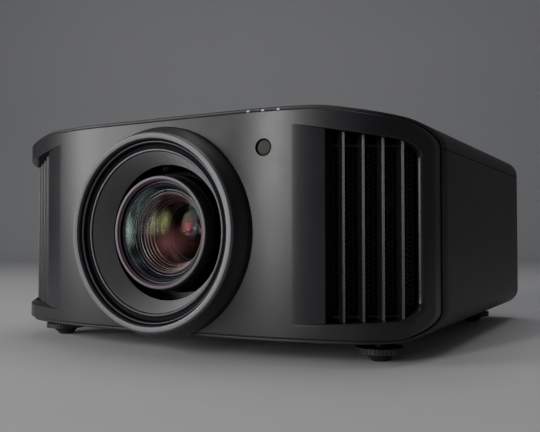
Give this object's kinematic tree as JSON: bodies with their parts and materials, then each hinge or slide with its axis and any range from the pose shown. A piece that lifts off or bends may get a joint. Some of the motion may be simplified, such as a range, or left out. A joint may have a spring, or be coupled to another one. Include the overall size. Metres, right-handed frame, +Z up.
{
  "type": "home projector",
  "caption": "Home-theatre projector with a large centred lens ring, finned exhaust vents at the front corners, rear sockets and screw-adjusted feet.",
  "frame": {"origin": "on the surface the feet stand on, under the centre of the projector's outline", "axes": "the lens points along -Y, +X is to the right of someone facing the lens, +Z is up"},
  "size_m": [0.5, 0.518, 0.234],
  "materials": {
    "case_black": "satin, very fine moulded grain",
    "rear_black": "powder coated",
    "ring_satin": "satin paint",
    "trap_black": "matte black, turned grooves",
    "mesh_black": "painted perforated sheet",
    "window_dark": "polished, infra-red pass",
    "light_pipe": "clear, moulded",
    "connector_metal": "plated",
    "inner_black": "moulded",
    "steel": "zinc plated",
    "aluminium": "machined",
    "board": "solder mask",
    "lens_glass": "multi-coated",
    "lens_black": "black anodised",
    "lens_silver": "satin turned",
    "foot_rubber": "matte",
    "foot_plastic": "moulded, knurled edge",
    "key_grey": "satin",
    "filter_foam": "pleated filter cloth"
  },
  "bodies": {
    "root": {"front_panel": "case_black", "top_cover": "case_black", "lower_case": "case_black", "rear_panel": "rear_black", "lens_ring": "ring_satin", "ring_trim": "ring_satin", "light_trap": "trap_black", "left_vent_fins": "case_black", "right_vent_fins": "case_black", "vent_meshes": "mesh_black", "ir_windows": "window_dark", "indicator_lights": "light_pipe", "rear_terminals": "connector_metal", "ac_inlet": "inner_black", "intake_grille": "inner_black", "case_screws": "steel", "chassis": "steel", "light_source": "aluminium", "heat_sink": "aluminium", "optical_block": "lens_black", "prism_block": "lens_glass", "imaging_panels": "board", "lens_guide": "aluminium", "v_shift_motor": "steel", "exhaust_ducts": "inner_black", "power_supply": "board", "main_board": "board", "fan_frames": "inner_black"},
    "v_stage": {"v_stage": "aluminium", "h_shift_motor": "steel"},
    "h_stage": {"h_stage": "aluminium", "lens_barrel": "lens_black", "lens_motors": "steel"},
    "focus_ring": {"focus_ring": "lens_black"},
    "zoom_ring": {"zoom_ring": "lens_black"},
    "focus_pinion": {"focus_pinion": "steel"},
    "zoom_pinion": {"zoom_pinion": "steel"},
    "front_group": {"front_group": "lens_silver", "front_glass": "lens_glass"},
    "zoom_group": {"zoom_group": "lens_glass"},
    "v_shift_screw": {"v_shift_screw": "steel"},
    "h_shift_screw": {"h_shift_screw": "steel"},
    "left_exhaust_fan": {"left_exhaust_fan": "inner_black"},
    "right_exhaust_fan": {"right_exhaust_fan": "inner_black"},
    "blower_wheel": {"blower_wheel": "inner_black"},
    "filter_tray": {"filter_tray": "inner_black", "filter_mesh": "filter_foam"},
    "foot_tip_front_left": {"foot_tip_front_left": "foot_rubber"},
    "foot_screw_front_left": {"foot_screw_front_left": "foot_plastic"},
    "foot_tip_front_right": {"foot_tip_front_right": "foot_rubber"},
    "foot_screw_front_right": {"foot_screw_front_right": "foot_plastic"},
    "foot_tip_rear_left": {"foot_tip_rear_left": "foot_rubber"},
    "foot_screw_rear_left": {"foot_screw_rear_left": "foot_plastic"},
    "foot_tip_rear_right": {"foot_tip_rear_right": "foot_rubber"},
    "foot_screw_rear_right": {"foot_screw_rear_right": "foot_plastic"},
    "power_key": {"power_key": "key_grey"},
    "source_key": {"source_key": "key_grey"},
    "menu_key": {"menu_key": "key_grey"},
    "ok_key": {"ok_key": "key_grey"},
    "back_key": {"back_key": "key_grey"}
  },
  "joints": [
    {"name": "lens_shift_vertical", "type": "slide", "parent": "root", "child": "v_stage", "axis": [0, 0, 1], "range_m": [-0.0064, 0.0064]},
    {"name": "lens_shift_horizontal", "type": "slide", "parent": "v_stage", "child": "h_stage", "axis": [1, 0, 0], "range_m": [-0.0052, 0.0052]},
    {"name": "vertical_shift_screw_spin", "type": "hinge", "parent": "root", "child": "v_shift_screw", "pos_m": [0.092, -0.132, 0.12], "axis": [0, 0, 1], "range_deg": [-1160, 1160]},
    {"name": "horizontal_shift_screw_spin", "type": "hinge", "parent": "v_stage", "child": "h_shift_screw", "pos_m": [0, -0.144, 0.045], "axis": [1, 0, 0], "range_deg": [-940, 940]},
    {"name": "focus_ring_turn", "type": "hinge", "parent": "h_stage", "child": "focus_ring", "pos_m": [0, -0.201, 0.12], "axis": [0, 1, 0], "range_deg": [-50, 50]},
    {"name": "focus_pinion_spin", "type": "hinge", "parent": "h_stage", "child": "focus_pinion", "pos_m": [0.05204, -0.201, 0.17204], "axis": [0, 1, 0], "range_deg": [-302, 302]},
    {"name": "front_group_slide", "type": "slide", "parent": "h_stage", "child": "front_group", "axis": [0, -1, 0], "range_m": [-0.0026, 0.0026]},
    {"name": "zoom_ring_turn", "type": "hinge", "parent": "h_stage", "child": "zoom_ring", "pos_m": [0, -0.175, 0.12], "axis": [0, 1, 0], "range_deg": [-38, 38]},
    {"name": "zoom_pinion_spin", "type": "hinge", "parent": "h_stage", "child": "zoom_pinion", "pos_m": [-0.05204, -0.175, 0.17204], "axis": [0, 1, 0], "range_deg": [-230, 230]},
    {"name": "zoom_group_slide", "type": "slide", "parent": "h_stage", "child": "zoom_group", "axis": [0, -1, 0], "range_m": [-0.0052, 0.0052]},
    {"name": "left_exhaust_fan_spin", "type": "hinge", "parent": "root", "child": "left_exhaust_fan", "pos_m": [-0.184, -0.1375, 0.12], "axis": [0, 1, 0], "continuous": true},
    {"name": "right_exhaust_fan_spin", "type": "hinge", "parent": "root", "child": "right_exhaust_fan", "pos_m": [0.184, -0.1375, 0.12], "axis": [0, 1, 0], "continuous": true},
    {"name": "blower_wheel_spin", "type": "hinge", "parent": "root", "child": "blower_wheel", "pos_m": [0, -0.04, 0.035], "axis": [0, 0, 1], "continuous": true},
    {"name": "filter_tray_slide", "type": "slide", "parent": "root", "child": "filter_tray", "axis": [0, 1, 0], "range_m": [0, 0.15]},
    {"name": "foot_front_left_height", "type": "slide", "parent": "root", "child": "foot_tip_front_left", "axis": [0, 0, -1], "range_m": [0, 0.005]},
    {"name": "foot_front_left_turn", "type": "hinge", "parent": "foot_tip_front_left", "child": "foot_screw_front_left", "pos_m": [-0.2, -0.165, 0.01], "axis": [0, 0, -1], "range_deg": [0, 1441]},
    {"name": "foot_front_right_height", "type": "slide", "parent": "root", "child": "foot_tip_front_right", "axis": [0, 0, -1], "range_m": [0, 0.005]},
    {"name": "foot_front_right_turn", "type": "hinge", "parent": "foot_tip_front_right", "child": "foot_screw_front_right", "pos_m": [0.2, -0.165, 0.01], "axis": [0, 0, -1], "range_deg": [0, 1441]},
    {"name": "foot_rear_left_height", "type": "slide", "parent": "root", "child": "foot_tip_rear_left", "axis": [0, 0, -1], "range_m": [0, 0.005]},
    {"name": "foot_rear_left_turn", "type": "hinge", "parent": "foot_tip_rear_left", "child": "foot_screw_rear_left", "pos_m": [-0.2, 0.19, 0.01], "axis": [0, 0, -1], "range_deg": [0, 1441]},
    {"name": "foot_rear_right_height", "type": "slide", "parent": "root", "child": "foot_tip_rear_right", "axis": [0, 0, -1], "range_m": [0, 0.005]},
    {"name": "foot_rear_right_turn", "type": "hinge", "parent": "foot_tip_rear_right", "child": "foot_screw_rear_right", "pos_m": [0.2, 0.19, 0.01], "axis": [0, 0, -1], "range_deg": [0, 1441]},
    {"name": "power_key_press", "type": "slide", "parent": "root", "child": "power_key", "axis": [0, -1, 0], "range_m": [0, 0.001], "stiffness_N_per_m": 300},
    {"name": "source_key_press", "type": "slide", "parent": "root", "child": "source_key", "axis": [0, -1, 0], "range_m": [0, 0.001], "stiffness_N_per_m": 300},
    {"name": "menu_key_press", "type": "slide", "parent": "root", "child": "menu_key", "axis": [0, -1, 0], "range_m": [0, 0.001], "stiffness_N_per_m": 300},
    {"name": "ok_key_press", "type": "slide", "parent": "root", "child": "ok_key", "axis": [0, -1, 0], "range_m": [0, 0.001], "stiffness_N_per_m": 300},
    {"name": "back_key_press", "type": "slide", "parent": "root", "child": "back_key", "axis": [0, -1, 0], "range_m": [0, 0.001], "stiffness_N_per_m": 300}
  ],
  "couplings": [
    {"joint": "vertical_shift_screw_spin", "follows": "lens_shift_vertical", "rad_per_m": -3141.6},
    {"joint": "horizontal_shift_screw_spin", "follows": "lens_shift_horizontal", "rad_per_m": -3141.6},
    {"joint": "focus_pinion_spin", "follows": "focus_ring_turn", "ratio": -6},
    {"joint": "front_group_slide", "follows": "focus_ring_turn", "m_per_rad": 0.0028648},
    {"joint": "zoom_pinion_spin", "follows": "zoom_ring_turn", "ratio": -6},
    {"joint": "zoom_group_slide", "follows": "zoom_ring_turn", "m_per_rad": 0.0075389},
    {"joint": "foot_front_left_turn", "follows": "foot_front_left_height", "rad_per_m": 5026.5},
    {"joint": "foot_front_right_turn", "follows": "foot_front_right_height", "rad_per_m": 5026.5},
    {"joint": "foot_rear_left_turn", "follows": "foot_rear_left_height", "rad_per_m": 5026.5},
    {"joint": "foot_rear_right_turn", "follows": "foot_rear_right_height", "rad_per_m": 5026.5}
  ]
}
